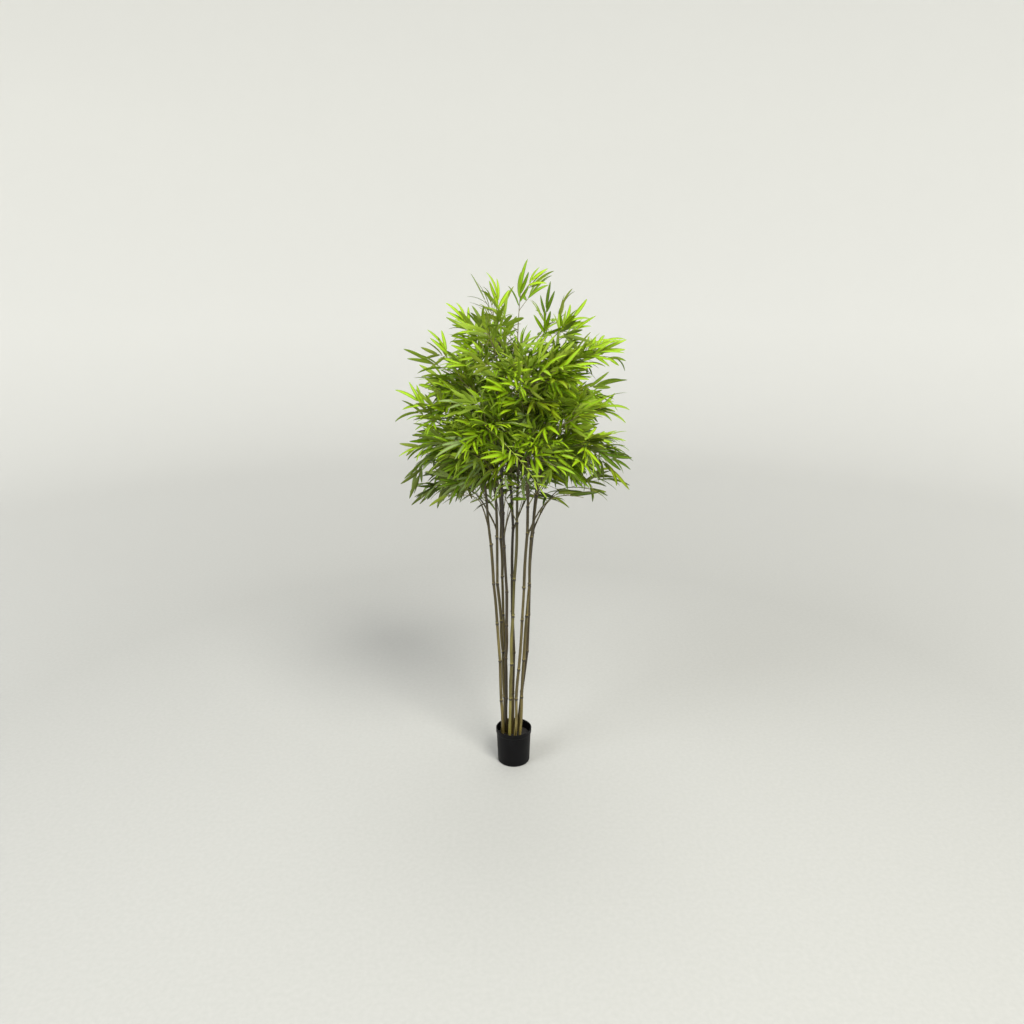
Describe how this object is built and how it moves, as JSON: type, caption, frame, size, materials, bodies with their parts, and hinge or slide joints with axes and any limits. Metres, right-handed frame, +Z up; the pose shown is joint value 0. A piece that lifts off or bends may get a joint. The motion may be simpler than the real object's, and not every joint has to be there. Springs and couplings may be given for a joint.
{
  "type": "artificial bamboo tree in a nursery pot",
  "caption": "Tall bamboo tree with slender upright canes in a small round black pot, side boughs and a full rounded crown of narrow leaves.",
  "frame": {"origin": "centre of the pot's flat underside", "axes": "+Z up along the pot's axis, -Y towards the front that the picture shows, +X to the right seen from the front"},
  "size_m": [0.9545, 0.844, 2.1035],
  "materials": {
    "pot_plastic": "satin",
    "filling_cement": "matte",
    "cane_wood": "satin",
    "bough_wood": "matte",
    "leaf_fabric": "satin"
  },
  "bodies": {
    "root": {"pot": "pot_plastic", "filling": "filling_cement", "cane_1": "cane_wood", "cane_2": "cane_wood", "cane_3": "cane_wood", "cane_4": "cane_wood", "cane_5": "cane_wood", "cane_6": "cane_wood", "cane_7": "cane_wood", "cane_8": "cane_wood", "cane_9": "cane_wood", "bough_skirt_1": "bough_wood", "bough_skirt_2": "bough_wood", "bough_skirt_3": "bough_wood", "bough_skirt_4": "bough_wood", "bough_skirt_5": "bough_wood", "bough_skirt_6": "bough_wood", "bough_skirt_7": "bough_wood", "bough_lower_1": "bough_wood", "bough_lower_2": "bough_wood", "bough_lower_3": "bough_wood", "bough_lower_4": "bough_wood", "bough_lower_5": "bough_wood", "bough_lower_6": "bough_wood", "foliage_skirt_1": "leaf_fabric", "foliage_skirt_2": "leaf_fabric", "foliage_skirt_3": "leaf_fabric", "foliage_skirt_4": "leaf_fabric", "foliage_skirt_5": "leaf_fabric", "foliage_skirt_6": "leaf_fabric", "foliage_skirt_7": "leaf_fabric", "foliage_lower_1": "leaf_fabric", "foliage_lower_2": "leaf_fabric", "foliage_lower_3": "leaf_fabric", "foliage_lower_4": "leaf_fabric", "foliage_lower_5": "leaf_fabric", "foliage_lower_6": "leaf_fabric", "foliage_middle_1": "leaf_fabric", "foliage_middle_2": "leaf_fabric", "foliage_middle_3": "leaf_fabric", "foliage_middle_4": "leaf_fabric", "foliage_middle_5": "leaf_fabric", "foliage_middle_6": "leaf_fabric", "foliage_inner_1": "leaf_fabric", "foliage_inner_2": "leaf_fabric", "foliage_inner_3": "leaf_fabric", "foliage_inner_4": "leaf_fabric", "foliage_inner_5": "leaf_fabric", "foliage_tip_1": "leaf_fabric", "foliage_tip_2": "leaf_fabric", "foliage_tip_3": "leaf_fabric", "foliage_tip_4": "leaf_fabric", "foliage_tip_5": "leaf_fabric", "foliage_tip_6": "leaf_fabric", "foliage_tip_7": "leaf_fabric", "foliage_tip_8": "leaf_fabric", "foliage_tip_9": "leaf_fabric"}
  },
  "joints": []
}
